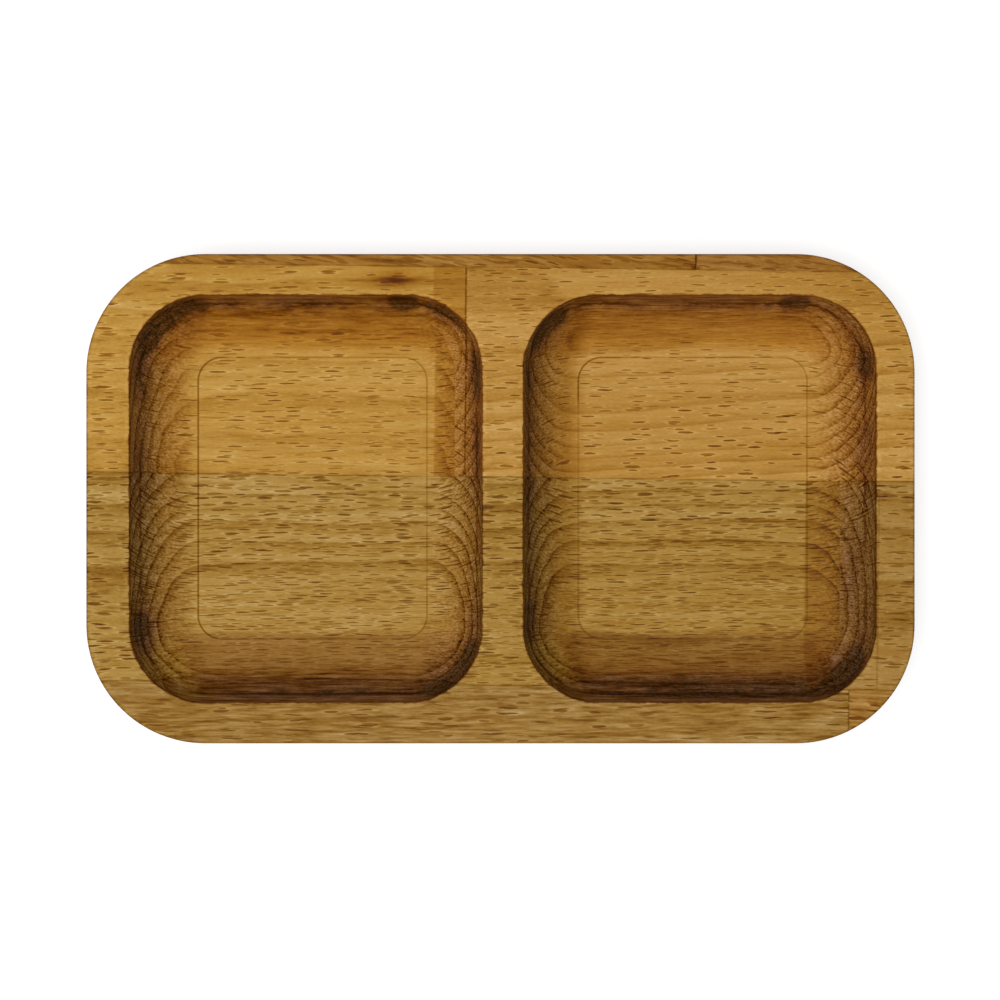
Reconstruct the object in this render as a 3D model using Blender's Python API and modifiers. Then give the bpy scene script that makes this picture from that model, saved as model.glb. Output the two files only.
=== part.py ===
"""A shallow wooden tray with two milled pockets.

It is cut from an edge-glued panel of beech: four rows of staves, and in each row one finger joint.
Metres, +Z up. The origin is the centre of the underside, +X runs along the tray and +Y to its back.
"""

import math

import bmesh
import bpy
from mathutils import Vector

# Outside of the tray
LENGTH = 0.220
WIDTH = 0.130
HEIGHT = 0.020
CORNER_RADIUS = 0.0315
ARRIS_RADIUS = 0.0008

# The two pockets, milled with a round-nosed tool whose radius is their depth
RIM_WIDTH = 0.011
FLOOR_THICKNESS = 0.005
FLOOR_CORNER_RADIUS = 0.005
POCKET_SHIFT = 0.0006
POCKET_DEPTH = HEIGHT - FLOOR_THICKNESS
COVE_RADIUS = POCKET_DEPTH
POCKET_CORNER_RADIUS = COVE_RADIUS + FLOOR_CORNER_RADIUS
POCKET_LENGTH = (LENGTH - 3 * RIM_WIDTH) / 2
POCKET_WIDTH = WIDTH - 2 * RIM_WIDTH
LEFT_POCKET_END = POCKET_SHIFT - RIM_WIDTH / 2
RIGHT_POCKET_END = LEFT_POCKET_END + RIM_WIDTH + POCKET_LENGTH

# The panel lies a little turned in the tray, so its glue lines drop towards the right
PANEL_TURN = math.radians(-0.7)
GLUE_GAP = 0.0003
BACK_STRIP_WIDTH = 0.0037
FRONT_STRIP_WIDTH = 0.0155
STAVE_WIDTH = (WIDTH - BACK_STRIP_WIDTH - FRONT_STRIP_WIDTH) / 2
BACK_GLUE_LINE = WIDTH / 2 - BACK_STRIP_WIDTH
MIDDLE_GLUE_LINE = BACK_GLUE_LINE - STAVE_WIDTH
FRONT_GLUE_LINE = MIDDLE_GLUE_LINE - STAVE_WIDTH

# The finger joints: the right stave's fingers reach left, under the line that shows on the faces
FINGERS = 4
FINGER_LENGTH = 0.010
FINGER_PITCH = 0.0038
FINGER_TIP = 0.0009
SHOULDER = (HEIGHT - FINGERS * FINGER_PITCH) / 2

# Where each end joint shows on the faces: one is set from the tray's right end, the others from a
# pocket's right end
BACK_JOINT_INSET = 0.0589
UPPER_JOINT_INSET = 0.0049
LOWER_JOINT_LIP = 0.0008
FRONT_JOINT_INSET = 0.0066
BACK_JOINT = LENGTH / 2 - BACK_JOINT_INSET
UPPER_JOINT = LEFT_POCKET_END - UPPER_JOINT_INSET
LOWER_JOINT = RIGHT_POCKET_END + LOWER_JOINT_LIP
FRONT_JOINT = RIGHT_POCKET_END - FRONT_JOINT_INSET

# Each row of the panel: the glue line at its front, its end joint, and whether that joint lies under
# a pocket's wall
ROWS = {
    "back_strip": (BACK_GLUE_LINE, BACK_JOINT, False),
    "upper_stave": (MIDDLE_GLUE_LINE, UPPER_JOINT, False),
    "lower_stave": (FRONT_GLUE_LINE, LOWER_JOINT, True),
    "front_strip": (FRONT_GLUE_LINE - STAVE_WIDTH, FRONT_JOINT, False),
}

# Cutters reach past the wood by this much
SPARE = 0.010
REACH = LENGTH + SPARE

CORNER_SEGMENTS = 10
COVE_SEGMENTS = 10
ARRIS_SEGMENTS = 2
SMOOTH_ANGLE = math.radians(30)
ROUND_PROFILE_SHARE = 0.5
UPRIGHT_SHARE = 0.99
MERGE_DISTANCE = 0.00001

WOOD_ROUGHNESS = 0.6
WOOD_COLOURS = {
    "back_strip_left": (0.31, 0.13, 0.018),
    "back_strip_right": (0.30, 0.12, 0.018),
    "upper_stave_left": (0.48, 0.24, 0.044),
    "upper_stave_right": (0.46, 0.235, 0.053),
    "lower_stave_left": (0.37, 0.20, 0.041),
    "lower_stave_right": (0.34, 0.17, 0.034),
    "front_strip_left": (0.305, 0.156, 0.034),
    "front_strip_right": (0.33, 0.155, 0.027),
}


def clear_scene():
    for obj in list(bpy.data.objects):
        bpy.data.objects.remove(obj, do_unlink=True)


def new_collection(name):
    collection = bpy.data.collections.new(name)
    bpy.context.scene.collection.children.link(collection)
    return collection


def link_object(name, data, collection):
    obj = bpy.data.objects.new(name, data)
    collection.objects.link(obj)
    return obj


def make_cutter(obj):
    obj.hide_render = True
    obj.display_type = "WIRE"
    return obj


def evaluated_mesh(obj):
    bpy.context.view_layer.update()
    graph = bpy.context.evaluated_depsgraph_get()
    return bpy.data.meshes.new_from_object(obj.evaluated_get(graph))


def add_boolean(obj, cutter, operation):
    modifier = obj.modifiers.new(f"{operation.lower()} {cutter.name}", "BOOLEAN")
    modifier.operation = operation
    modifier.solver = "EXACT"
    modifier.object = cutter


def is_upright(edge):
    return abs((edge.verts[1].co - edge.verts[0].co).normalized().z) > UPRIGHT_SHARE


def bevel_edges(bm, edges, radius, segments):
    bmesh.ops.bevel(
        bm, geom=edges, offset=radius, segments=segments, profile=ROUND_PROFILE_SHARE, affect="EDGES"
    )


def block_mesh(name, size, corner_radius=0, cove_radius=0):
    """A box centred on its origin, with rounded upright edges and a rounded lower rim."""
    bm = bmesh.new()
    bmesh.ops.create_cube(bm, size=1)
    bmesh.ops.scale(bm, vec=Vector(size), verts=bm.verts)
    if corner_radius:
        bevel_edges(bm, list(filter(is_upright, bm.edges)), corner_radius, CORNER_SEGMENTS)
    if cove_radius:
        bottom = min(bm.faces, key=lambda face: face.calc_center_median().z)
        bevel_edges(bm, list(bottom.edges), cove_radius, COVE_SEGMENTS)
    mesh = bpy.data.meshes.new(name)
    bm.to_mesh(mesh)
    bm.free()
    return mesh


def outer_block(cutters):
    """The tray's outside, with all its edges eased."""
    mesh = block_mesh("outer_block", (LENGTH, WIDTH, HEIGHT), CORNER_RADIUS)
    block = make_cutter(link_object("outer_block", mesh, cutters))
    block.location.z = HEIGHT / 2
    arris = block.modifiers.new("eased edges", "BEVEL")
    arris.limit_method = "ANGLE"
    arris.width = ARRIS_RADIUS
    arris.segments = ARRIS_SEGMENTS
    return block


def pocket_cutter(name, side, cutters):
    """The space of one pocket, where side is -1 for the left one and 1 for the right one."""
    height = POCKET_DEPTH + SPARE
    size = (POCKET_LENGTH, POCKET_WIDTH, height)
    mesh = block_mesh(name, size, POCKET_CORNER_RADIUS, COVE_RADIUS)
    cutter = make_cutter(link_object(name, mesh, cutters))
    cutter.location.x = side * (POCKET_LENGTH + RIM_WIDTH) / 2 + POCKET_SHIFT
    cutter.location.z = FLOOR_THICKNESS + height / 2
    return cutter


def milled_mesh(cutters):
    """The whole tray in one mesh, in world space, before it is parted into staves."""
    block = outer_block(cutters)
    for name, side in (("left_pocket", -1), ("right_pocket", 1)):
        add_boolean(block, pocket_cutter(name, side, cutters), "DIFFERENCE")
    mesh = evaluated_mesh(block)
    mesh.transform(block.matrix_world)
    return mesh


def cove_height(inset):
    """How high a pocket's wall stands at this distance in from the pocket's edge."""
    rise = math.sqrt(COVE_RADIUS**2 - (COVE_RADIUS - inset) ** 2)
    return HEIGHT - rise


def finger_line(under_pocket):
    """The end joint seen from the front, from below the tray to above it, as points in X and Z.

    X = 0 is the line that shows on the faces. Where the joint lies under a pocket's wall, the milling
    has parted the left stave's upper fingers from it. They are loose strips that only glue holds, so
    they count as the right stave.
    """
    points = [Vector((0, -SPARE))]
    reach = (FINGER_PITCH - FINGER_TIP) / 2
    wall = cove_height(FINGER_LENGTH - LOWER_JOINT_LIP) if under_pocket else HEIGHT
    for finger in range(FINGERS):
        middle = SHOULDER + (finger + 0.5) * FINGER_PITCH
        points.append(Vector((0, middle - reach)))
        points.append(Vector((-FINGER_LENGTH, middle - FINGER_TIP / 2)))
        if middle > wall:
            points.append(Vector((-FINGER_LENGTH, HEIGHT + SPARE)))
            return points
        points.append(Vector((-FINGER_LENGTH, middle + FINGER_TIP / 2)))
        points.append(Vector((0, middle + reach)))
    points.append(Vector((0, HEIGHT + SPARE)))
    return points


def offset_line(points, distance):
    """The line moved to its right, or to its left by a negative distance, with its corners kept sharp."""
    ways = [(end - start).normalized() for start, end in zip(points, points[1:])]
    rights = [Vector((way.y, -way.x)) for way in ways]
    befores = [rights[0], *rights]
    afters = [*rights, rights[-1]]
    moved = []
    for point, before, after in zip(points, befores, afters):
        mitre = (before + after).normalized()
        moved.append(point + mitre * distance / mitre.dot(before))
    return moved


def joint_half_mesh(name, under_pocket, side):
    """All the space on one side of an end joint, less half the glue gap: side is -1 for the left."""
    outline = offset_line(finger_line(under_pocket), side * GLUE_GAP / 2)
    outline.append(Vector((side * 2 * REACH, outline[-1].y)))
    outline.append(Vector((side * 2 * REACH, outline[0].y)))
    curve = bpy.data.curves.new(name, "CURVE")
    curve.dimensions = "2D"
    curve.fill_mode = "BOTH"
    curve.extrude = REACH
    spline = curve.splines.new("POLY")
    spline.points.add(len(outline) - 1)
    for point, place in zip(spline.points, outline):
        point.co = (*place, 0, 1)
    spline.use_cyclic_u = True
    flat = link_object(name, curve, bpy.context.scene.collection)
    flat.rotation_euler.x = math.pi / 2
    mesh = evaluated_mesh(flat)
    mesh.transform(flat.matrix_world)
    bpy.data.objects.remove(flat)
    bm = bmesh.new()
    bm.from_mesh(mesh)
    bmesh.ops.remove_doubles(bm, verts=bm.verts, dist=MERGE_DISTANCE)
    bmesh.ops.recalc_face_normals(bm, faces=bm.faces)
    bm.to_mesh(mesh)
    bm.free()
    return mesh


def add_panel(cutters):
    """The frame in which the glue lines lie square."""
    panel = link_object("panel", None, cutters)
    panel.rotation_euler.z = PANEL_TURN
    return panel


def row_cutter(row, cutters, panel):
    """The strip of the panel that one row of staves fills, less half the glue gap at either edge."""
    name = f"{row}_row"
    size = (2 * REACH, STAVE_WIDTH - GLUE_GAP, HEIGHT + 2 * SPARE)
    cutter = make_cutter(link_object(name, block_mesh(name, size), cutters))
    cutter.parent = panel
    cutter.location.y = ROWS[row][0] + STAVE_WIDTH / 2
    cutter.location.z = HEIGHT / 2
    return cutter


def joint_cutter(row, side, cutters, panel):
    """The part of a row that lies on one side of its end joint."""
    name = f"{row}_{side}_of_joint"
    mesh = joint_half_mesh(name, ROWS[row][2], -1 if side == "left" else 1)
    cutter = make_cutter(link_object(name, mesh, cutters))
    cutter.parent = panel
    cutter.location.x = ROWS[row][1]
    return cutter


def beech(name):
    material = bpy.data.materials.new(name)
    material.use_nodes = True
    shader = material.node_tree.nodes["Principled BSDF"]
    shader.inputs["Base Color"].default_value = (*WOOD_COLOURS[name], 1)
    shader.inputs["Roughness"].default_value = WOOD_ROUGHNESS
    shader.inputs["Metallic"].default_value = 0
    return material


def add_stave(name, milled, cutters, parts):
    """One piece of wood: the part of the milled tray that the given cutters hold."""
    uncut = link_object(name, milled.copy(), parts)
    for cutter in cutters:
        add_boolean(uncut, cutter, "INTERSECT")
    mesh = evaluated_mesh(uncut)
    bpy.data.objects.remove(uncut)
    mesh.name = name
    mesh.materials.clear()
    mesh.materials.append(beech(name))
    mesh.shade_smooth()
    mesh.set_sharp_from_angle(angle=SMOOTH_ANGLE)
    return link_object(name, mesh, parts)


def build_tray():
    cutters = new_collection("cutters")
    parts = new_collection("wooden_tray")
    tray = link_object("tray", None, parts)
    milled = milled_mesh(cutters)
    panel = add_panel(cutters)
    for row in ROWS:
        strip = row_cutter(row, cutters, panel)
        for side in ("left", "right"):
            joint = joint_cutter(row, side, cutters, panel)
            stave = add_stave(f"{row}_{side}", milled, (strip, joint), parts)
            stave.parent = tray


clear_scene()
build_tray()
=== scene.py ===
"""The looks of a shallow wooden tray with two milled pockets.

Eight staves of beech, each with its own grain, a pale floor, soft light and a camera that looks
straight down. Shapes are in metres. Inside the materials a length is in millimetres.
"""

import contextlib
import math

import bmesh
import bpy
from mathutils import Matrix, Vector


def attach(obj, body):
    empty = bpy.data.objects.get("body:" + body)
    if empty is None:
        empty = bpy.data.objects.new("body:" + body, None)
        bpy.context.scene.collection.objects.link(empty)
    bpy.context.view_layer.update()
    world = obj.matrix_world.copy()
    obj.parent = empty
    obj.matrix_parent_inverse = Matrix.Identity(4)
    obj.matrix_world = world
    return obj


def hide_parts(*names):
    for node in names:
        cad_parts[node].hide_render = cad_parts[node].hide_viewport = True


# Millimetres in a metre, for the lengths inside the materials
MM = 1000

# The outside of the tray
LENGTH = 0.220
WIDTH = 0.130
HEIGHT = 0.020
CORNER_RADIUS = 0.0315
ARRIS_RADIUS = 0.0008

# The two pockets, cut with a round-nosed tool
RIM_WIDTH = 0.011
FLOOR_THICKNESS = 0.005
FLOOR_CORNER_RADIUS = 0.005
POCKET_SHIFT = 0.0006
COVE_RADIUS = HEIGHT - FLOOR_THICKNESS
POCKET_CORNER_RADIUS = COVE_RADIUS + FLOOR_CORNER_RADIUS
POCKET_LENGTH = (LENGTH - 3 * RIM_WIDTH) / 2
POCKET_WIDTH = WIDTH - 2 * RIM_WIDTH
POCKET_REACH = (POCKET_LENGTH + RIM_WIDTH) / 2
LEFT_POCKET_END = POCKET_SHIFT - RIM_WIDTH / 2
RIGHT_POCKET_END = LEFT_POCKET_END + RIM_WIDTH + POCKET_LENGTH
POCKET_EASE = 0.0003

# The glued panel, a little turned in the tray
PANEL_TURN = math.radians(-0.7)
HAIRLINE = 0.00004
BACK_GLUE_LINE = 0.0613
STAVE_WIDTH = 0.0554
MIDDLE_GLUE_LINE = BACK_GLUE_LINE - STAVE_WIDTH
FRONT_GLUE_LINE = MIDDLE_GLUE_LINE - STAVE_WIDTH

# The finger joints, and how far three of them lie from the end of the pocket beside them
FINGERS = 4
FINGER_LENGTH = 0.010
FINGER_PITCH = 0.0038
FINGER_TIP = 0.0009
SHOULDER = (HEIGHT - FINGERS * FINGER_PITCH) / 2
BACK_JOINT = 0.0511
UPPER_JOINT_INSET = 0.0049
LOWER_JOINT_LIP = 0.0008
FRONT_JOINT_INSET = 0.0066

# Each row of the panel: its front glue line, its end joint, and whether that lies under a pocket's wall
ROWS = {
    "back_strip": (BACK_GLUE_LINE, BACK_JOINT, False),
    "upper_stave": (MIDDLE_GLUE_LINE, LEFT_POCKET_END - UPPER_JOINT_INSET, False),
    "lower_stave": (FRONT_GLUE_LINE, RIGHT_POCKET_END + LOWER_JOINT_LIP, True),
    "front_strip": (FRONT_GLUE_LINE - STAVE_WIDTH, RIGHT_POCKET_END - FRONT_JOINT_INSET, False),
}

# How finely the round shapes are cut, and where smooth shading ends
CORNER_SEGMENTS = 32
ARRIS_SEGMENTS = 4
POCKET_CORNER_SEGMENTS = 26
COVE_SEGMENTS = 30
EASE_SEGMENTS = 3
SMOOTH_ANGLE = math.radians(28)

# How far the cutters reach past the wood
SPARE = 0.010
REACH = LENGTH + SPARE

# What counts as straight, as a share of a direction, and as touching, as a distance
STRAIGHT = 0.99
TOUCHING = 0.000001


# Modelling by hand


def only(obj):
    """Makes this object the one that is selected and active."""
    bpy.ops.object.select_all(action="DESELECT")
    obj.select_set(True)
    bpy.context.view_layer.objects.active = obj


@contextlib.contextmanager
def editing(obj):
    only(obj)
    bpy.ops.object.mode_set(mode="EDIT")
    bpy.ops.mesh.select_all(action="SELECT")
    yield
    bpy.ops.object.mode_set(mode="OBJECT")


def choose(obj, kind, wanted):
    """In edit mode, selects the vertices or edges that the test wants."""
    bpy.ops.mesh.select_mode(type=kind)
    bpy.ops.mesh.select_all(action="DESELECT")
    mesh = bmesh.from_edit_mesh(obj.data)
    for item in {"VERT": mesh.verts, "EDGE": mesh.edges}[kind]:
        if wanted(item):
            item.select_set(True)
    mesh.select_flush_mode()
    bmesh.update_edit_mesh(obj.data)


def round_chosen(radius, segments):
    bpy.ops.mesh.bevel(offset=radius, segments=segments, affect="EDGES")


def settle(obj, name):
    """Names a new shape and puts its place, turn and size into its mesh."""
    obj.name = obj.data.name = name
    only(obj)
    bpy.ops.object.transform_apply(location=True, rotation=True, scale=True)
    return obj


def add_box(name, size, place):
    bpy.ops.object.select_all(action="DESELECT")
    bpy.ops.mesh.primitive_cube_add(size=1, location=place, scale=size)
    return settle(bpy.context.active_object, name)


def copy_of(obj, name):
    only(obj)
    bpy.ops.object.duplicate(linked=False)
    copy = bpy.context.active_object
    copy.name = copy.data.name = name
    return copy


def throw_away(obj):
    bpy.data.objects.remove(obj, do_unlink=True)


def carve(obj, cutter, operation):
    """Cuts with another shape and throws it away: DIFFERENCE takes it off, INTERSECT keeps what it holds."""
    only(obj)
    bpy.ops.object.modifier_add(type="BOOLEAN")
    cut = obj.modifiers[-1]
    cut.operation = operation
    cut.solver = "EXACT"
    cut.object = cutter
    bpy.ops.object.modifier_apply(modifier=cut.name)
    throw_away(cutter)


def turn_about_tray(obj):
    """Turns a placed shape with the panel, about the middle of the tray."""
    settle(obj, obj.name)
    obj.rotation_euler.z = PANEL_TURN
    return settle(obj, obj.name)


def is_upright(edge):
    return abs((edge.verts[1].co - edge.verts[0].co).normalized().z) > STRAIGHT


def on_cap(edge):
    """Whether an edge lies between a level face and an upright one."""
    steepness = sorted(abs(face.normal.z) for face in edge.link_faces)
    return steepness[0] < 1 - STRAIGHT and steepness[-1] > STRAIGHT


def on_pocket_rim(edge):
    """Whether an edge lies between the level top and a pocket's wall, which starts upright."""
    level = all(vert.co.z > HEIGHT - TOUCHING for vert in edge.verts)
    return level and any(face.normal.z < 0.5 for face in edge.link_faces)


def make_block():
    """The tray before its pockets: a board with rounded corners and eased edges."""
    block = add_box("tray", (LENGTH, WIDTH, HEIGHT), (0, 0, HEIGHT / 2))
    with editing(block):
        choose(block, "EDGE", is_upright)
        round_chosen(CORNER_RADIUS, CORNER_SEGMENTS)
        choose(block, "EDGE", on_cap)
        round_chosen(ARRIS_RADIUS, ARRIS_SEGMENTS)
    return block


def make_pocket(name, middle):
    """The space of one pocket, with its rounded corners and its coved sides."""
    height = COVE_RADIUS + SPARE
    place = (middle, 0, FLOOR_THICKNESS + height / 2)
    pocket = add_box(name, (POCKET_LENGTH, POCKET_WIDTH, height), place)
    with editing(pocket):
        choose(pocket, "EDGE", is_upright)
        round_chosen(POCKET_CORNER_RADIUS, POCKET_CORNER_SEGMENTS)
        choose(pocket, "EDGE", lambda edge: on_cap(edge) and edge.verts[0].co.z < HEIGHT)
        round_chosen(COVE_RADIUS, COVE_SEGMENTS)
    return pocket


def make_milled_board():
    board = make_block()
    for name, side in (("left_pocket", -1), ("right_pocket", 1)):
        carve(board, make_pocket(name, POCKET_SHIFT + side * POCKET_REACH), "DIFFERENCE")
    with editing(board):
        choose(board, "EDGE", on_pocket_rim)
        round_chosen(POCKET_EASE, EASE_SEGMENTS)
    return board


def finger_levels(under_pocket):
    """The heights of a finger profile: where each finger starts and ends, and the range of each tip.

    Where a pocket's wall cuts the fingers off, all the wood over the last whole one counts as a tip.
    """
    reach = (FINGER_PITCH - FINGER_TIP) / 2
    inset = FINGER_LENGTH - LOWER_JOINT_LIP
    wall = HEIGHT - math.sqrt(COVE_RADIUS**2 - (COVE_RADIUS - inset) ** 2)
    roots, tips = [], []
    for finger in range(FINGERS):
        middle = SHOULDER + (finger + 0.5) * FINGER_PITCH
        roots.append(middle - reach)
        if under_pocket and middle > wall:
            return roots, [*tips, (middle - FINGER_TIP / 2, HEIGHT + SPARE)]
        roots.append(middle + reach)
        tips.append((middle - FINGER_TIP / 2, middle + FINGER_TIP / 2))
    return roots, tips


def is_on_tip(height, tips):
    return any(low - TOUCHING < height < high + TOUCHING for low, high in tips)


def make_joint(place, under_pocket):
    """All the space to the right of a finger joint: a sheet whose left edge is drawn out, then thickened."""
    roots, tips = finger_levels(under_pocket)
    levels = roots + [height for tip in tips for height in tip if height < HEIGHT]
    bpy.ops.object.select_all(action="DESELECT")
    bpy.ops.mesh.primitive_plane_add(
        size=1, location=(REACH / 2, -REACH / 2, HEIGHT / 2), rotation=(math.pi / 2, 0, 0)
    )
    joint = bpy.context.active_object
    joint.scale = (REACH, HEIGHT + 2 * SPARE, 1)
    settle(joint, "joint")
    with editing(joint):
        for level in levels:
            bpy.ops.mesh.select_all(action="SELECT")
            bpy.ops.mesh.bisect(plane_co=(0, 0, level), plane_no=(0, 0, 1))
        choose(joint, "VERT", lambda vert: vert.co.x < SPARE and is_on_tip(vert.co.z, tips))
        bpy.ops.transform.translate(value=(-FINGER_LENGTH, 0, 0), orient_type="GLOBAL")
        bpy.ops.mesh.select_all(action="SELECT")
        bpy.ops.mesh.extrude_region_move(TRANSFORM_OT_translate={"value": (0, REACH, 0)})
        bpy.ops.mesh.select_all(action="SELECT")
        bpy.ops.mesh.normals_make_consistent(inside=False)
    joint.location.x = place
    return turn_about_tray(joint)


def make_row(name, board):
    """One row of the panel, cut from the milled board, less half the hairline at either edge."""
    front = ROWS[name][0]
    size = (2 * REACH, STAVE_WIDTH - HAIRLINE, HEIGHT + 2 * SPARE)
    strip = turn_about_tray(add_box("strip", size, (0, front + STAVE_WIDTH / 2, HEIGHT / 2)))
    row = copy_of(board, name)
    carve(row, strip, "INTERSECT")
    return row


def make_staves(name, board):
    """The two staves of a row, parted at their finger joint by a hairline."""
    _, place, under_pocket = ROWS[name]
    row = make_row(name, board)
    staves = []
    for side, shift, operation in (
        ("left", -HAIRLINE / 2, "DIFFERENCE"),
        ("right", HAIRLINE / 2, "INTERSECT"),
    ):
        joint = make_joint(place + shift, under_pocket)
        stave = copy_of(row, f"{name}_{side}_wood")
        carve(stave, joint, operation)
        only(stave)
        bpy.ops.object.shade_smooth_by_angle(angle=SMOOTH_ANGLE)
        staves.append(stave)
    throw_away(row)
    return staves


# Node trees


class Flow:
    """A number, vector or colour on its way through a node tree. Sums made with it become nodes."""

    def __init__(self, tree, socket):
        self.tree = tree
        self.socket = socket

    def math(self, operation, *others):
        node = self.tree.nodes.new("ShaderNodeMath")
        node.operation = operation
        for place, value in zip(node.inputs, (self, *others)):
            feed(self.tree, value, place)
        return Flow(self.tree, node.outputs[0])

    def __add__(self, other):
        return self.math("ADD", other)

    def __radd__(self, other):
        return self.math("ADD", other)

    def __sub__(self, other):
        return self.math("SUBTRACT", other)

    def __rsub__(self, other):
        return (self * -1) + other

    def __mul__(self, other):
        return self.math("MULTIPLY", other)

    def __truediv__(self, other):
        return self.math("DIVIDE", other)

    def __pow__(self, other):
        return self.math("POWER", other)

    def __abs__(self):
        return self.math("ABSOLUTE")

    def above(self, other):
        return self.math("MAXIMUM", other)

    def below(self, other):
        return self.math("MINIMUM", other)

    def rising(self, low, high):
        """0 below low, 1 above high, and smooth between. With low over high it falls instead."""
        node = self.tree.nodes.new("ShaderNodeMapRange")
        node.interpolation_type = "SMOOTHSTEP"
        feed(self.tree, self, node.inputs["Value"])
        feed(self.tree, low, node.inputs["From Min"])
        feed(self.tree, high, node.inputs["From Max"])
        return Flow(self.tree, node.outputs["Result"])

    def band(self, middle, half):
        """1 at the middle value, and down to 0 at half this width to either side."""
        return abs(self - middle).rising(half, 0)


def feed(tree, value, socket):
    if isinstance(value, Flow):
        tree.links.new(value.socket, socket)
    else:
        socket.default_value = value


def add_node(tree, kind, inputs=(), **settings):
    node = tree.nodes.new(f"ShaderNode{kind}")
    for name, value in settings.items():
        setattr(node, name, value)
    for name, value in dict(inputs).items():
        feed(tree, value, node.inputs[name])
    return node


def split(flow):
    node = add_node(flow.tree, "SeparateXYZ", {"Vector": flow})
    return [Flow(flow.tree, socket) for socket in node.outputs]


def joined(x, y, z):
    tree = next(value.tree for value in (x, y, z) if isinstance(value, Flow))
    node = add_node(tree, "CombineXYZ", {"X": x, "Y": y, "Z": z})
    return Flow(tree, node.outputs[0])


def length_of(flow):
    node = add_node(flow.tree, "VectorMath", operation="LENGTH")
    feed(flow.tree, flow, node.inputs[0])
    return Flow(flow.tree, node.outputs["Value"])


def millimetres(vector):
    node = add_node(vector.tree, "VectorMath", operation="SCALE")
    feed(vector.tree, vector, node.inputs[0])
    node.inputs["Scale"].default_value = MM
    return split(Flow(vector.tree, node.outputs[0]))


def noise(x, y, z, detail=2.0, roughness=0.5):
    """Soft noise between about 0.2 and 0.8, one lump for each unit of the given places."""
    place = joined(x, y, z)
    settings = {"Vector": place, "Scale": 1.0, "Detail": detail, "Roughness": roughness}
    return Flow(place.tree, add_node(place.tree, "TexNoise", settings).outputs["Fac"])


def new_group(name, inputs, outputs, kind="Float"):
    """A node group with these inputs and their values. It gives the group and its inputs by name."""
    group = bpy.data.node_groups.new(name, "ShaderNodeTree")
    for label, value in inputs.items():
        size = len(value) if isinstance(value, tuple) else 1
        socket_type = {1: "NodeSocketFloat", 3: "NodeSocketVector", 4: "NodeSocketColor"}[size]
        socket = group.interface.new_socket(label, in_out="INPUT", socket_type=socket_type)
        socket.default_value = value
    for label in outputs:
        group.interface.new_socket(label, in_out="OUTPUT", socket_type=f"NodeSocket{kind}")
    source = group.nodes.new("NodeGroupInput")
    return group, {socket.name: Flow(group, socket) for socket in source.outputs if socket.name}


def give(group, **results):
    """Links a group's outputs. An underscore in a name here stands for a space."""
    sink = group.nodes.new("NodeGroupOutput")
    for name, flow in results.items():
        feed(group, flow, sink.inputs[name.replace("_", " ")])
    return group


def use(tree, group, **inputs):
    """Places a group in a tree with these inputs, and gives its outputs by name."""
    node = tree.nodes.new("ShaderNodeGroup")
    node.node_tree = group
    for name, value in inputs.items():
        feed(tree, value, node.inputs[name.replace("_", " ")])
    return {socket.name: Flow(tree, socket) for socket in node.outputs}


# Distances on the tray, in millimetres


def rounded_edge_distance(x, y, half_x, half_y, radius):
    """How far a place lies outside a rounded rectangle round the origin. Inside it is negative."""
    past_x = abs(x) - (half_x - radius)
    past_y = abs(y) - (half_y - radius)
    outer = length_of(joined(past_x.above(0.0), past_y.above(0.0), 0.0))
    return outer + past_x.above(past_y).below(0.0) - radius


def tray_edge_distance(x, y):
    return rounded_edge_distance(x, y, LENGTH / 2 * MM, WIDTH / 2 * MM, CORNER_RADIUS * MM)


def pocket_edge_distance(x, y, inset=0.0, radius=POCKET_CORNER_RADIUS * MM):
    """How far a place lies outside the nearer pocket's rim, or a line that runs further in by the inset."""
    from_middle = abs(x - POCKET_SHIFT * MM) - POCKET_REACH * MM
    half_x, half_y = POCKET_LENGTH / 2 * MM - inset, POCKET_WIDTH / 2 * MM - inset
    return rounded_edge_distance(from_middle, y, half_x, half_y, radius)


def squared_distance(x, y, spot_x, spot_y):
    off_x, off_y = x - spot_x, y - spot_y
    return off_x * off_x + off_y * off_y


# Effects that the staves share, with lengths in millimetres

# A knot, glue line or joint that a stave doesn't have lies this far off
FAR_OFF = 1000.0


def make_trunk_group():
    """Where a place lies in the trunk that the stave came from: along it, round it and out from its pith."""
    inputs = {
        "Place": (0.0, 0.0, 0.0),
        "Pith Back": 0.0,
        "Pith Height": -60.0,
        "Girth": 80.0,
        "Lean": 0.0,
        "Wander": 2.0,
        "Ripple": 0.2,
        "Seed": 0.0,
    }
    group, given = new_group("trunk", inputs, ("Along", "Around", "Radius"))
    x, y, z = millimetres(given["Place"])
    seed = given["Seed"]
    sway = noise(x * 0.009 + seed, y * 0.022, z * 0.022, 1.0) - 0.5
    lift = noise(x * 0.009 - seed, y * 0.022, z * 0.022 + 7.0, 1.0) - 0.5
    curl = noise(x * 0.06 + seed, y * 0.11, z * 0.11, 1.0) - 0.5
    y = y + given["Lean"] * x + given["Wander"] * sway + given["Ripple"] * curl
    z = z + given["Wander"] * lift
    off, up = y - given["Pith Back"], z - given["Pith Height"]
    radius = (off * off + up * up) ** 0.5
    around = off.math("ARCTAN2", up) * given["Girth"]
    return give(group, Along=x, Around=around, Radius=radius)


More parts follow.
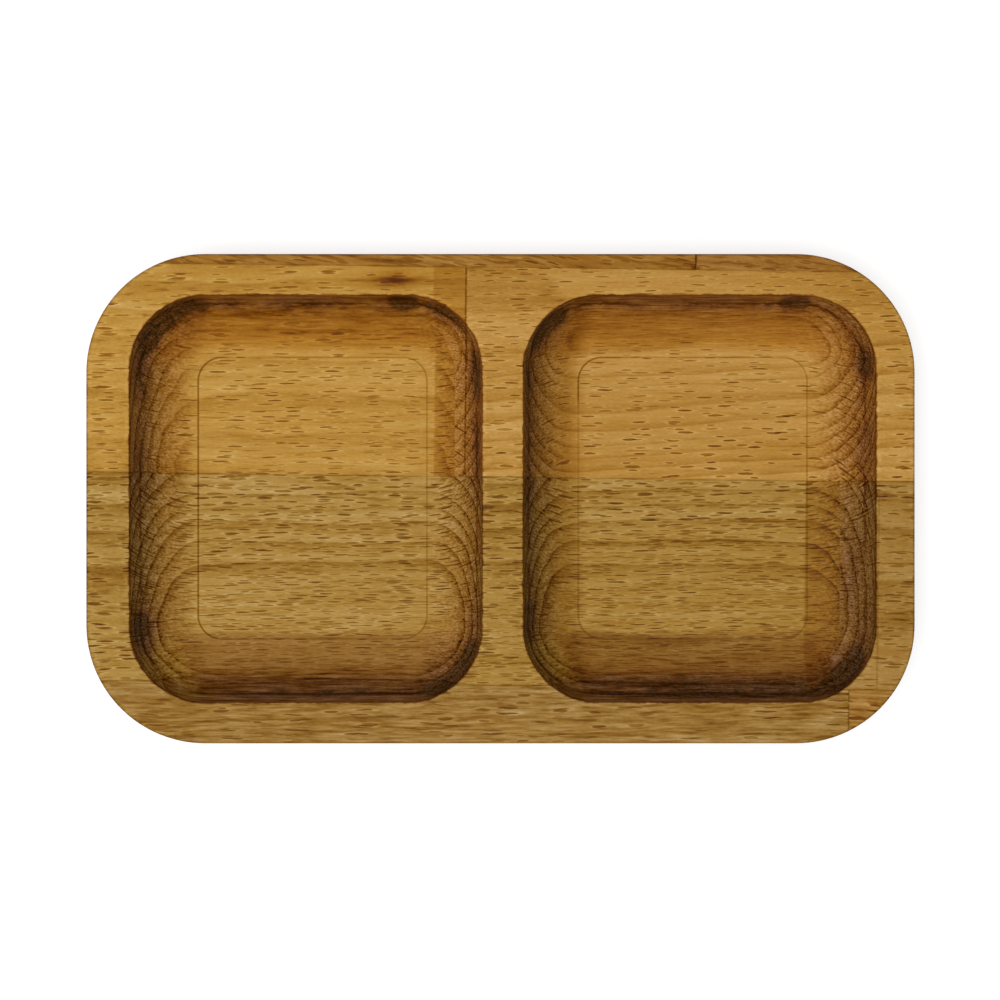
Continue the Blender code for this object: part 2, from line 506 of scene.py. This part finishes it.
def make_ring_group():
    """Growth rings: a dark late line at each ring's end, and how each ring differs from the next."""
    inputs = {"Along": 0.0, "Around": 0.0, "Radius": 0.0, "Ring Width": 3.0, "Taper": 0.0, "Seed": 0.0}
    group, given = new_group("growth rings", inputs, ("Late Wood", "Ring Tone"))
    along, around, seed = given["Along"], given["Around"], given["Seed"]
    uneven = noise(along * 0.02, around * 0.06, seed, 2.0)
    radius = given["Radius"] + along * given["Taper"]
    age = radius / given["Ring Width"] + uneven + seed
    age = age + noise(age * 0.45, seed, 3.0, 1.0) * 2.0
    part = age.math("FRACT")
    late = (part**3.5) * part.rising(1.0, 0.9)
    number = age.math("FLOOR") + seed
    tone = add_node(group, "TexWhiteNoise", {"W": number}, noise_dimensions="1D")
    return give(group, Late_Wood=late, Ring_Tone=Flow(group, tone.outputs["Value"]))


def make_fleck_group():
    """Ray flecks: the wood's rays, short dark dashes on a flat face and fine lines on end grain."""
    inputs = {
        "Along": 0.0,
        "Around": 0.0,
        "Spacing Along": 12.0,
        "Spacing Around": 2.0,
        "Size": 0.16,
        "Amount": 0.8,
        "Seed": 0.0,
    }
    group, given = new_group("ray flecks", inputs, ("Fleck", "Sheath"))
    along, around, seed = given["Along"], given["Around"], given["Seed"]
    nudge = (noise(along * 0.35, around * 0.5, seed, 1.0) - 0.5) * 0.4
    place = joined(
        along / given["Spacing Along"] + seed, (around + nudge) / given["Spacing Around"], 0.0
    )
    cells = add_node(
        group, "TexVoronoi", {"Vector": place, "Scale": 1.0, "Randomness": 0.75}, voronoi_dimensions="2D"
    )
    chance, kind, weight = split(Flow(group, cells.outputs["Color"]))
    away = Flow(group, cells.outputs["Distance"]) / (given["Size"] * (kind * 0.7 + 0.6))
    there = (given["Amount"] - chance).rising(0.0, 0.02)
    fleck = away.rising(1.12, 0.85) * there * (weight * 0.45 + 0.55)
    sheath = away.rising(2.2, 1.2) * there
    return give(group, Fleck=fleck, Sheath=sheath)


def make_fibre_group():
    """Pores and fibres: soft streaks, fine lines and dark dashes along the grain, and speckles across it."""
    inputs = {"Along": 0.0, "Around": 0.0, "Radius": 0.0, "Coarseness": 0.4, "Seed": 0.0}
    group, given = new_group("fibres", inputs, ("Streak", "Dash", "Fibre", "Speckle", "Line"))
    along, around, radius, seed = (given[name] for name in ("Along", "Around", "Radius", "Seed"))
    limit = given["Coarseness"]
    streak = noise(along * 0.03 + seed, around * 0.3, radius * 0.4, 2.0)
    fibre = noise(along * 0.13 + seed, around * 1.3, radius * 0.9, 1.0, 0.6)
    speckle = noise(along * 0.9 + seed, around * 2.0, radius * 2.0, 1.0)
    dash = fibre.rising(limit, limit - 0.1)
    line = noise(along * 0.12 + seed, around * 1.9, radius * 0.4, 2.0, 0.6)
    return give(group, Streak=streak, Dash=dash, Fibre=fibre, Speckle=speckle, Line=line)


# The fine line round each flat floor: how far in from the rim it runs, how far to the back it is shifted,
# its corners and half its width. It grows deep to the left between two places, and round one corner
FLOOR_LINE_INSET = 15.3
FLOOR_LINE_SHIFT = 0.15
FLOOR_LINE_RADIUS = 6.5
FLOOR_LINE_HALF = 0.42
DEEP_LEFT_END = (-72.0, -80.0)
DEEP_CORNER = (24.0, 36.0)

# Bands on the walls, each by its middle and its half width: two lines of the tool, a dark band of burn and
# painted shade and a paler band on the front walls, all by height, a stain on the last wall, and the foot of
# the wall right of the divider, which takes painted shade
UPPER_PASS = (13.6, 0.9)
LOWER_PASS = (10.0, 0.6)
FRONT_BURN_AND_SHADE_BAND = (9.6, 2.7)
FRONT_PALE_BAND = (16.4, 1.6)
STAIN_ALONG = (95.6, 4.6)
STAIN_ACROSS = (-20.0, 24.0)
DIVIDER_FOOT = (20.5, 3.5)

# Spots on the pockets' walls, partly burns of the round-nosed tool and partly painted shade: the place, how
# far it reaches and how dark it is. A darkness below 0 makes the place paler
SCORCH_AND_SHADE_SPOTS = (
    (-90, 50, 14, 1.2),
    (-97, -14, 18, -0.4),
    (-97, 35, 12, 0.55),
    (-97, -36, 8, 0.9),
    (-96, 14, 12, 0.25),
    (-12, 54, 10, 0.6),
    (-5, -14, 16, -0.3),
    (-8, -33, 5, 0.35),
    (-6, 33, 9, 0.9),
    (-8, 15, 12, 0.3),
    (-12, -46, 12, 1.4),
    (-86, -50, 12, -0.5),
    (-50, -54, 24, 0.1),
    (-52, 56, 14, 0.3),
    (-26, 54, 5, 1.3),
    (13, 46, 8, 1.2),
    (7, 32, 12, 0.45),
    (7, 8, 18, 0.3),
    (8, -33, 9, 0.6),
    (79, 52, 5, 0.9),
    (50, 54, 26, 0.15),
    (100, 36, 6, 1.0),
    (97, 14, 8, 0.4),
    (64, -54, 34, 0.4),
    (97, -14, 20, -0.35),
    (92, -46, 9, 1.5),
)


class MilledPlace:
    """A place on the tray, how its surface lies and in which part of a pocket it is."""

    def __init__(self, place, normal):
        self.x, self.y, self.z = millimetres(place)
        self.normal_x, self.normal_y, self.normal_z = split(normal)
        self.inside = pocket_edge_distance(self.x, self.y).rising(0.05, -0.05)
        self.right = self.x.rising(-1.0, 1.0)
        self.straight = abs(self.normal_x).rising(0.5, 0.1)
        self.steep = (1.0 - self.normal_z).above(0.0).below(1.0) * self.inside
        self.front_wall = self.normal_y.rising(0.2, 0.5) * self.straight
        self.front_foot = self.y.rising(-35.5, -38.5) * self.steep.rising(0.5, 0.1)
        self.torn = noise(self.x * 0.4 + 9.0, self.y * 0.4, self.z * 0.5, 2.0) - 0.5
        self.level = self.z + self.torn * (2.5 - self.front_wall * 1.9)
        self.waver = noise(self.x * 0.06, self.y * 0.06, 2.0, 2.0)
        self.patchy = self.waver.rising(0.35, 0.6).above(self.front_wall)


def floor_line(at):
    """The fine line round a flat floor, deep in some places and faint in others."""
    line = pocket_edge_distance(at.x, at.y - FLOOR_LINE_SHIFT, FLOOR_LINE_INSET, FLOOR_LINE_RADIUS)
    corner = squared_distance(at.x, at.y, *DEEP_CORNER).rising(150.0, 60.0)
    deep = at.x.rising(*DEEP_LEFT_END).above(corner).above(at.waver.rising(0.3, 0.6) * 0.4)
    return line.band(0.0, FLOOR_LINE_HALF) * (deep * 0.75 + 0.3) * at.inside


def pass_line(at):
    """The lines that the round-nosed tool drew round the walls."""
    return (at.level.band(*UPPER_PASS) * at.patchy + at.level.band(*LOWER_PASS) * 0.3) * at.inside


def painted_wall_shade(at):
    """Painted shade on the walls and their feet: darker back walls, front feet, walls that face right and the
    foot right of the divider.
    """
    back = (at.normal_y * -1.0).rising(0.1, 0.5)
    long_walls = (back * 0.14 + at.front_foot * (at.right * 0.06 + 0.2)) * at.straight
    end_walls = at.normal_x.rising(0.0, 0.25) * (at.right * 0.15 + 0.1)
    foot = at.x.band(*DIVIDER_FOOT) * abs(at.y).rising(40.0, 32.0) * 0.16
    return long_walls * at.inside + (end_walls + foot) * at.inside


def warmth(at):
    """The redder foot of the back walls."""
    back = (at.normal_y * at.inside * -1.0).rising(0.0, 0.3)
    return back * at.steep.rising(0.65, 0.25) * (1.0 - abs(at.normal_x) * 0.8)


def ash(at):
    """The greyer end grain of the walls that face right, and of the last wall's front half."""
    grey = at.normal_x.rising(0.5, 1.0) * 0.8 + at.normal_x.rising(0.15, 0.6) * at.right * 0.5
    facing_left = (at.normal_x * -1.0).rising(0.3, 0.8)
    return grey + facing_left * at.right * at.y.rising(6.0, 0.0) * 0.45


def burn_and_shade(at):
    """How hard the walls are burnt, with painted shade in it: soft patches, and the places that are listed.
    """
    patches = noise(at.x * 0.13 + 4.0, at.y * 0.13, at.z * 0.25, 2.0).rising(0.35, 0.7)
    amount = patches * 0.35 + 0.2 + at.torn * 0.5
    for spot_x, spot_y, reach, depth in SCORCH_AND_SHADE_SPOTS:
        near = squared_distance(at.x, at.y, spot_x, spot_y).rising(reach**2, 0.0)
        amount = amount + near * depth
    return amount.above(0.05)


def scorch_and_shade(at):
    """How black the walls are: burns, and painted shade on steep and front walls, their bands, feet and
    corners.
    """
    burnt_and_shaded = burn_and_shade(at)
    # Painted shade: the more a wall leans, the darker, and darker still in its upright top
    tilt = (1.0 - at.normal_z * at.normal_z).above(0.0) ** 0.5 * at.inside
    upright = (at.steep + at.torn * 0.2).rising(0.3, 0.55)
    black = tilt.rising(0.0, 0.8) * (burnt_and_shaded * 0.2 + 0.14)
    black = black + upright * burnt_and_shaded * at.level.rising(20.0, 14.5) * 0.8
    black = black + at.level.band(*UPPER_PASS) * at.patchy * at.inside * 0.3
    # Painted shade on the front walls, which face away from the lamp, and at their feet
    front = at.front_foot * at.straight * 0.16 + at.normal_y.rising(0.65, 0.85) * 0.14
    black = black + front * at.inside
    pale = at.level.band(*FRONT_PALE_BAND) * 0.25
    bands = at.level.band(*FRONT_BURN_AND_SHADE_BAND) * (at.right * 0.25 + 0.27) - pale
    black = black + at.front_wall * bands * at.inside
    black = black + at.x.band(*STAIN_ALONG) * at.y.band(*STAIN_ACROSS) * at.inside * 0.33
    # Painted shade in the front walls' corners: darker where they face left, paler where they face right
    side = at.normal_x * at.normal_y.above(0.0)
    corners = side.rising(-0.08, -0.25) * 0.1 - side.rising(0.03, 0.25) * 0.25
    black = black + corners * at.inside
    black = black * (1.0 - abs(at.normal_x).rising(0.75, 0.97) * 0.25)
    return black.above(0.0).below(0.97)


def make_milling_group():
    """What milling left, and painted shade: the grain's cut, the tool's lines, and shaded, red, grey and
    black walls.
    """
    cuts = ("End Grain", "Side Grain", "Wall Grain", "Top")
    marks = ("Floor Line", "Pass Line", "Oiled", "Warm", "Ash", "Scorch")
    inputs = {"Place": (0.0, 0.0, 0.0), "Normal": (0.0, 0.0, 1.0)}
    group, given = new_group("milling", inputs, cuts + marks)
    at = MilledPlace(given["Place"], given["Normal"])
    return give(
        group,
        End_Grain=abs(at.normal_x),
        Side_Grain=abs(at.normal_y),
        Wall_Grain=abs(at.normal_y) * (at.inside * 0.8 + 0.2),
        Top=at.z.rising(12.0, 19.0),
        Floor_Line=floor_line(at),
        Pass_Line=pass_line(at),
        Oiled=painted_wall_shade(at),
        Warm=warmth(at),
        Ash=ash(at),
        Scorch=scorch_and_shade(at),
    )


# Half the knot's length and width, and how fast the twig leans to the front as it goes down
KNOT_LENGTH = 7.5
KNOT_WIDTH = 1.3
KNOT_SLOPE = 1.25


def make_knot_group():
    """A small knot: the dark heart of a twig that leaves the rim and comes out in the pocket's wall."""
    inputs = {"Place": (0.0, 0.0, 0.0), "Right": FAR_OFF, "Back": FAR_OFF}
    group, given = new_group("knot", inputs, ("Heart", "Around"))
    x, y, z = millimetres(given["Place"])
    waver = noise(x * 0.25, y * 0.6, z * 0.4, 2.0) - 0.5
    along = (x - given["Right"]) / KNOT_LENGTH + waver * 0.6
    down = HEIGHT * MM - z
    across = (y - given["Back"] + down * KNOT_SLOPE) / KNOT_WIDTH + waver * 0.7
    away = (along * along + across * across) ** 0.5
    spindle = abs(along) + abs(across)
    around = spindle.rising(2.1, 0.4) * 0.85 + spindle.rising(3.6, 1.2) * 0.35
    high = z.rising(12.0, 15.0)
    return give(group, Heart=away.rising(0.95, 0.1) * high, Around=around * high)


def make_edge_wear_and_shade_group():
    """Handling: the outer edge, with dirt and painted shade, and the pockets' rims are darker in the corner
    and rubbed pale beside it.
    """
    inputs = {"Place": (0.0, 0.0, 0.0), "Normal": (0.0, 0.0, 1.0)}
    group, given = new_group("edge wear", inputs, ("Dirt", "Torn", "Rubbed"))
    x, y, z = millimetres(given["Place"])
    _, _, normal_z = split(given["Normal"])
    outside = tray_edge_distance(x, y)
    rim = pocket_edge_distance(x, y) + (noise(x * 0.45, y * 0.45, 4.0, 2.0) - 0.5) * 1.2
    worn = noise(x * 0.12, y * 0.12, z * 0.3, 3.0).rising(0.35, 0.65)
    # Dirt in the rounded outer edge, and painted shade where it and the outer sides turn down
    corner = outside.rising(-0.9, -0.1) * (1.0 - abs(normal_z)).rising(0.0, 0.3)
    rim_edge = rim.rising(0.4, 0.1) * z.rising(18.6, 19.3)
    rubbed = (outside.band(-1.3, 0.9) + rim.band(0.8, 0.7)) * worn * normal_z.rising(0.9, 1.0)
    return give(group, Dirt=corner * 0.4, Torn=rim_edge * (worn * 0.4 + 0.6), Rubbed=rubbed)


def make_glue_line_group():
    """The dark film on a stave's own glue lines and at its end joint, and how the wood darkens near them."""
    inputs = {
        "Place": (0.0, 0.0, 0.0),
        "Back": FAR_OFF,
        "Front": -FAR_OFF,
        "Joint": FAR_OFF,
        "Reach": 9.0,
    }
    outputs = ("Edge", "Joint", "Foot", "Near Joint", "Shaded", "Near Front")
    group, given = new_group("glue line", inputs, outputs)
    x, y, _ = millimetres(given["Place"])
    across = y * math.cos(PANEL_TURN) - x * math.sin(PANEL_TURN)
    along = x * math.cos(PANEL_TURN) + y * math.sin(PANEL_TURN)
    from_front = across - given["Front"]
    from_joint = abs(along - given["Joint"])
    edge = abs(across - given["Back"]).below(abs(from_front)).rising(0.5, 0.0)
    patchy = noise(x * 0.12, y * 0.4, 5.0, 2.0).rising(0.35, 0.65)
    ticks = noise(x * 0.3, y * 0.9, 9.0, 2.0).rising(0.3, 0.5)
    uneven = noise(x * 0.05, y * 0.3, 7.0, 2.0).rising(0.35, 0.6)
    return give(
        group,
        Edge=edge * patchy,
        Joint=from_joint.rising(0.45, 0.05) * ticks,
        Foot=from_joint.rising(2.0, 0.4) * abs(from_front).rising(1.8, 0.4),
        Near_Joint=(given["Joint"] - along).rising(given["Reach"], given["Reach"] - 0.8),
        Shaded=(given["Back"] - across).rising(18.0, 3.0),
        Near_Front=from_front.rising(4.0, 0.5) * uneven,
    )


def make_shade_group():
    """Wood of one colour at any depth of tone: deeper tones are redder, and scorched wood and painted shade
    nearly black.
    """
    inputs = {"Colour": (0.4, 0.2, 0.04, 1.0), "Tone": 1.0, "Hue": 0.0, "Warm": 0.0, "Scorch": 0.0}
    group, given = new_group("wood shade", inputs, ("Colour",), kind="Color")
    tone, warm, blackening, hue = given["Tone"].above(0.02), given["Warm"], given["Scorch"], given["Hue"]
    red = tone * (1.0 - warm * 0.1) * (1.0 - blackening * (blackening * 0.17 + 0.6))
    green = tone**1.42 * (1.0 - warm * 0.24) * (1.0 - blackening * (1.08 - blackening * 0.28)) * (1.0 + hue * 0.25)
    blue = tone**3.0 * (1.0 - warm * 0.6) * (1.0 - blackening * (blackening * 0.5 + 0.2)) * (1.0 + hue)
    depth = add_node(group, "CombineColor", {"Red": red, "Green": green, "Blue": blue})
    mixed = add_node(group, "Mix", data_type="RGBA", blend_type="MULTIPLY")
    mixed.inputs["Factor"].default_value = 1.0
    feed(group, given["Colour"], mixed.inputs["A"])
    feed(group, Flow(group, depth.outputs["Color"]), mixed.inputs["B"])
    return give(group, Colour=Flow(group, mixed.outputs["Result"]))


def make_groups():
    return {
        "trunk": make_trunk_group(),
        "rings": make_ring_group(),
        "flecks": make_fleck_group(),
        "fibres": make_fibre_group(),
        "milling": make_milling_group(),
        "glue": make_glue_line_group(),
        "knot": make_knot_group(),
        "wear": make_edge_wear_and_shade_group(),
        "shade": make_shade_group(),
    }


# The wood of each stave

# What a stave has where BEECH says nothing else
PLAIN = {
    # How much the grain leans to the front and the rings grow for each millimetre to the right, how much the
    # grain ripples, and the width and the darkness of the rings
    "lean": -0.004,
    "taper": 0.0,
    "ripple": 0.5,
    "ring": 3.0,
    "late": 0.24,
    # The share of long flecks that show, their size as a share of their spacing, and that spacing along the
    # grain and across it. Then the share of short flecks
    "amount": 0.9,
    "size": 0.17,
    "spacing": (14.0, 1.7),
    "small": 0.35,
    # How coarse the fibres are, and how strong their dashes, streaks and fine lines
    "coarse": 0.42,
    "dash": 0.32,
    "streak": 0.35,
    "lines": 0.0,
    # Slow changes: lighter to the right, lighter on top, darker to the back and darker near the front
    "drift": 0.0,
    "top": 0.0,
    "shaded": 0.0,
    "near_front": 0.0,
    # The end joint: how dark its line, its foot and the wood left of it are, and how far that wood reaches
    "tick": 0.5,
    "foot": 0.0,
    "near_joint": 0.0,
    "reach": 9.0,
    # Where the knot lies to the right and to the back
    "knot": (FAR_OFF, FAR_OFF),
}

# Each stave: its colour under oil, where its pith lay to the back and in height, and how it differs
BEECH = {
    "back_strip_left": {
        "colour": (0.34, 0.155, 0.022),
        "pith": (95, -30),
        "lean": 0.16,
        "ripple": 3.0,
        "spacing": (11.0, 0.85),
        "size": 0.14,
        "tick": 0.9,
        "foot": 0.65,
        "coarse": 0.5,
        "dash": 0.26,
        "streak": 0.7,
    },
    "back_strip_right": {
        "colour": (0.35, 0.16, 0.03),
        "pith": (95, -30),
        "lean": 0.1,
        "ripple": 3.0,
        "spacing": (11.0, 0.85),
        "size": 0.14,
        "foot": 0.5,
        "coarse": 0.48,
        "dash": 0.22,
        "streak": 0.7,
    },
    "upper_stave_left": {
        "colour": (0.49, 0.262, 0.047),
        "pith": (-5, -120),
        "spacing": (14.5, 1.7),
        "size": 0.13,
        "amount": 0.65,
        "small": 0.5,
        "coarse": 0.38,
        "dash": 0.25,
        "shaded": 0.1,
        "knot": (-28, 58),
        "near_joint": 0.15,
        "near_front": 0.16,
        "tick": 0.55,
        "top": 0.05,
    },
    "upper_stave_right": {
        "colour": (0.475, 0.248, 0.049),
        "pith": (57, -38),
        "spacing": (11.5, 1.4),
        "size": 0.155,
        "small": 0.25,
        "ring": 2.6,
        "late": 0.28,
        "taper": 0.03,
        "coarse": 0.34,
        "dash": 0.2,
        "shaded": 0.08,
        "top": 0.03,
    },
    "lower_stave_left": {
        "colour": (0.405, 0.232, 0.05),
        "pith": (-38, -45),
        "spacing": (11.5, 1.3),
        "amount": 1.0,
        "small": 0.95,
        "coarse": 0.44,
        "dash": 0.22,
        "streak": 0.5,
        "late": 0.45,
        "drift": -0.06,
        "near_joint": 0.14,
        "reach": 16.9,
        "tick": 0.2,
        "top": -0.13,
    },
    "lower_stave_right": {
        "colour": (0.34, 0.178, 0.034),
        "pith": (-30, -60),
        "lean": 0.03,
        "spacing": (11, 1.3),
        "late": 0.34,
        "tick": 0.2,
    },
    "front_strip_left": {
        "colour": (0.324, 0.175, 0.038),
        "pith": (-95, -20),
        "ripple": 1.4,
        "spacing": (18.0, 0.9),
        "size": 0.15,
        "amount": 0.5,
        "small": 0.2,
        "dash": 0.2,
        "streak": 0.5,
        "lines": 1.7,
        "tick": 0.3,
    },
    "front_strip_right": {
        "colour": (0.35, 0.172, 0.033),
        "pith": (-95, -50),
        "lean": 0.05,
        "coarse": 0.44,
        "lines": 1.4,
        "tick": 0.3,
    },
}

# Short flecks, alike on all the staves: their spacing along the grain and across it, and their size
SHORT_FLECK_SPACING = (10.0, 1.25)
SHORT_FLECK_SIZE = 0.18

# The share of a fleck that is lost where the surface faces the front or the back
SIDE_FLECK_LOSS = 0.85

# How far the seeds of two staves lie apart, and those of a stave's two kinds of fleck
STAVE_SEED_STEP = 3.7
FLECK_SEED_STEP = 1.3

# The tone that leaves a stave at its own colour, its roughness and how much light its gloss gives back
BASE_TONE = 1.03
ROUGHNESS = 0.62
GLOSS = 0.07


def place_effects(tree, groups, name, kind, seed):
    """Places the shared effects in a stave's material, with its own values, and gives their outputs."""
    spot = add_node(tree, "TexCoord")
    place, normal = (Flow(tree, spot.outputs[socket]) for socket in ("Object", "Normal"))
    front, joint, _ = ROWS[name.rsplit("_", 1)[0]]
    pith_back, pith_height = kind["pith"]
    aside = (front + STAVE_WIDTH / 2) * MM - pith_back
    above = HEIGHT * MM - pith_height
    trunk = use(
        tree,
        groups["trunk"],
        Place=place,
        Pith_Back=pith_back,
        Pith_Height=pith_height,
        Girth=(aside**2 + above**2) / above,
        Lean=kind["lean"],
        Ripple=kind["ripple"],
        Seed=seed,
    )

    def flecks(spacing, size, amount, seed):
        return use(
            tree,
            groups["flecks"],
            Along=trunk["Along"],
            Around=trunk["Around"],
            Spacing_Along=spacing[0],
            Spacing_Around=spacing[1],
            Size=size,
            Amount=amount,
            Seed=seed,
        )

    rings = use(tree, groups["rings"], **trunk, Ring_Width=kind["ring"], Taper=kind["taper"], Seed=seed)
    long_flecks = flecks(kind["spacing"], kind["size"], kind["amount"], seed)
    short_flecks = flecks(SHORT_FLECK_SPACING, SHORT_FLECK_SIZE, kind["small"], seed + FLECK_SEED_STEP)
    fibres = use(tree, groups["fibres"], **trunk, Coarseness=kind["coarse"], Seed=seed)
    milled = use(tree, groups["milling"], Place=place, Normal=normal)
    glue = use(
        tree,
        groups["glue"],
        Place=place,
        Back=(front + STAVE_WIDTH) * MM,
        Front=front * MM,
        Joint=joint * MM,
        Reach=kind["reach"],
    )
    knot = use(tree, groups["knot"], Place=place, Right=kind["knot"][0], Back=kind["knot"][1])
    wear = use(tree, groups["wear"], Place=place, Normal=normal)
    return trunk, rings, long_flecks, short_flecks, fibres, milled, glue, knot, wear


def tone_of(kind, effects):
    """How light the wood is. An effect adds to the tone, or takes a share of what the others leave."""
    trunk, rings, long_flecks, short_flecks, fibres, milled, glue, knot, wear = effects
    end_grain, side_grain = milled["End Grain"], milled["Side Grain"]
    shows = 1.0 - side_grain * SIDE_FLECK_LOSS
    added = (
        (fibres["Streak"] - 0.5) * kind["streak"],
        (fibres["Fibre"] - 0.5) * (side_grain * 0.5 + 0.3),
        (fibres["Line"] - 0.5) * (milled["Wall Grain"] * 1.9 + (1.0 - side_grain * 0.8) * kind["lines"]),
        (fibres["Speckle"] - 0.5) * (end_grain * 2.0 + 0.25),
        trunk["Along"] * (kind["drift"] / 100),
        (rings["Ring Tone"] - 0.5) * 0.1,
        rings["Late Wood"] * (end_grain * 0.6 + kind["late"]) * -1.0,
        (long_flecks["Sheath"] * 0.15 + short_flecks["Sheath"] * 0.12) * shows,
        milled["Top"] * kind["top"],
        fibres["Dash"] * -kind["dash"],
    )
    taken = (
        long_flecks["Fleck"] * shows * 0.68,
        short_flecks["Fleck"] * shows * 0.58,
        end_grain * 0.18,
        glue["Shaded"] * kind["shaded"],
        # painted shade on the pockets' walls and their feet
        milled["Oiled"],
        milled["Floor Line"] * 0.55,
        milled["Pass Line"] * 0.4,
        glue["Edge"] * 0.34,
        (glue["Joint"] * kind["tick"]).above(glue["Foot"] * kind["foot"]),
        glue["Near Joint"] * kind["near_joint"],
        glue["Near Front"] * kind["near_front"],
        knot["Around"] * 0.28,
        knot["Heart"] * 0.5,
        # dirt and painted shade on the outer edge and sides
        wear["Dirt"] * 0.6,
        wear["Torn"] * 0.45,
        wear["Rubbed"] * -0.08,
    )
    tone = sum(added, BASE_TONE)
    for share in taken:
        tone = tone * (1.0 - share)
    return tone


def make_beech(name, number, groups):
    """The material of one stave."""
    kind = {**PLAIN, **BEECH[name]}
    material = bpy.data.materials.new(f"beech {name.replace('_', ' ')}")
    material.use_nodes = True
    tree = material.node_tree
    shader = tree.nodes["Principled BSDF"]
    effects = place_effects(tree, groups, name, kind, number * STAVE_SEED_STEP)
    _, rings, long_flecks, _, fibres, milled, glue, knot, wear = effects
    beside_joint = glue["Near Joint"] * (kind["near_joint"] * 4)
    # Black: burns and painted shade on the pockets' walls, and the knot's heart
    black = (milled["Scorch"] * (1.4 - fibres["Speckle"] * 0.8)).above(knot["Heart"] * 0.5)
    shade = use(
        tree,
        groups["shade"],
        Colour=(*kind["colour"], 1.0),
        Tone=tone_of(kind, effects),
        Hue=(rings["Ring Tone"] - 0.5) * 0.1 + (fibres["Streak"] - 0.5) * 0.5 + milled["Ash"],
        Warm=milled["Warm"].above(knot["Around"]).above(beside_joint),
        Scorch=black.above(wear["Torn"] * 0.5),
    )
    feed(tree, shade["Colour"], shader.inputs["Base Color"])
    fleck = long_flecks["Fleck"] * (1.0 - milled["Side Grain"] * SIDE_FLECK_LOSS)
    rough = ROUGHNESS + (fibres["Fibre"] - 0.5) * 0.2 - fleck * 0.08 - wear["Rubbed"] * 0.1
    feed(tree, rough, shader.inputs["Roughness"])
    shader.inputs["Specular IOR Level"].default_value = GLOSS
    height = fibres["Fibre"] * 0.03 + rings["Late Wood"] * 0.01 - fleck * 0.02
    height = height - milled["Floor Line"] * 0.05 - milled["Pass Line"] * 0.04
    bump = add_node(tree, "Bump", {"Height": height, "Distance": 0.001, "Strength": 1.0})
    tree.links.new(bump.outputs["Normal"], shader.inputs["Normal"])
    return material


# Floor, light and camera

# The floor lies a gap under the tray, and goes over into white between two distances from the middle
FLOOR_SIZE = 6
FLOOR_GAP = 0.0003
FLOOR_GREY = 0.68
FLOOR_FADE = (0.3, 1.6)

# The camera, nearly over the middle, where the photo was taken from
CAMERA_PLACE = (-0.000125, -0.00035, HEIGHT + 0.405)
SENSOR_WIDTH = 36
LENS = 54.99
NEAREST_SEEN = 0.01


def seen(tree):
    """1 for what the camera sees straight, in a reflection or through glass, and 0 for other light."""
    path = add_node(tree, "LightPath")
    camera, glossy, clear = (
        Flow(tree, path.outputs[name])
        for name in ("Is Camera Ray", "Is Glossy Ray", "Is Transmission Ray")
    )
    return camera.above(glossy).above(clear)


def make_floor():
    """A pale floor that takes a soft shadow, and goes over into white away from the tray."""
    bpy.ops.object.select_all(action="DESELECT")
    bpy.ops.mesh.primitive_plane_add(size=FLOOR_SIZE, location=(0, 0, -FLOOR_GAP))
    floor = settle(bpy.context.active_object, "floor")
    material = bpy.data.materials.new("pale floor")
    material.use_nodes = True
    tree = material.node_tree
    shader = tree.nodes["Principled BSDF"]
    shader.inputs["Base Color"].default_value = (FLOOR_GREY, FLOOR_GREY, FLOOR_GREY, 1)
    shader.inputs["Roughness"].default_value = 0.9
    shader.inputs["Specular IOR Level"].default_value = 0
    shader.inputs["Emission Color"].default_value = (1, 1, 1, 1)
    place = Flow(tree, add_node(tree, "TexCoord").outputs["Object"])
    far = length_of(place).rising(*FLOOR_FADE)
    feed(tree, seen(tree) * (far * 0.54 + 0.48), shader.inputs["Emission Strength"])
    floor.data.materials.append(material)


def make_world():
    world = bpy.data.worlds.new("studio")
    bpy.context.scene.world = world
    world.use_nodes = True
    tree = world.node_tree
    background = tree.nodes["Background"]
    background.inputs["Color"].default_value = (1, 1, 1, 1)
    feed(tree, seen(tree) * 0.8 + 0.2, background.inputs["Strength"])


def add_lamp(name, place, size, power):
    """A round soft lamp that points at the middle of the tray."""
    data = bpy.data.lights.new(name, "AREA")
    data.shape = "DISK"
    data.size = size
    data.energy = power
    lamp = bpy.data.objects.new(name, data)
    bpy.context.scene.collection.objects.link(lamp)
    lamp.location = place
    lamp.rotation_mode = "QUATERNION"
    lamp.rotation_quaternion = (-Vector(place)).to_track_quat("-Z", "Y")


def add_camera():
    data = bpy.data.cameras.new("camera")
    data.sensor_width = SENSOR_WIDTH
    data.lens = LENS
    data.clip_start = NEAREST_SEEN
    camera = bpy.data.objects.new("camera", data)
    bpy.context.scene.collection.objects.link(camera)
    camera.location = CAMERA_PLACE
    bpy.context.scene.camera = camera


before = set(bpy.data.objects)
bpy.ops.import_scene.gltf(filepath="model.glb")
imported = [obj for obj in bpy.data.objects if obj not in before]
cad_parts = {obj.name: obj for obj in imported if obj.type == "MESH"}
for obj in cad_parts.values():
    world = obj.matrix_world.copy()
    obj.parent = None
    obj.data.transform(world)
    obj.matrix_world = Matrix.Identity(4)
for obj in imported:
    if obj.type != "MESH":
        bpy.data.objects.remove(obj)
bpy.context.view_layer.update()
add_camera()
make_world()
add_lamp("softbox", place=(-0.24, -0.14, 1.5), size=1.4, power=21.4)
make_floor()

groups = make_groups()
board = make_milled_board()
staves = [stave for row in ROWS for stave in make_staves(row, board)]
for number, stave in enumerate(staves):
    node = stave.name.removesuffix("_wood")
    stave.data.materials.clear()
    stave.data.materials.append(make_beech(node, number, groups))
    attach(stave, "root")
    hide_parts(node)
throw_away(board)

bpy.context.scene.view_settings.view_transform = "Standard"
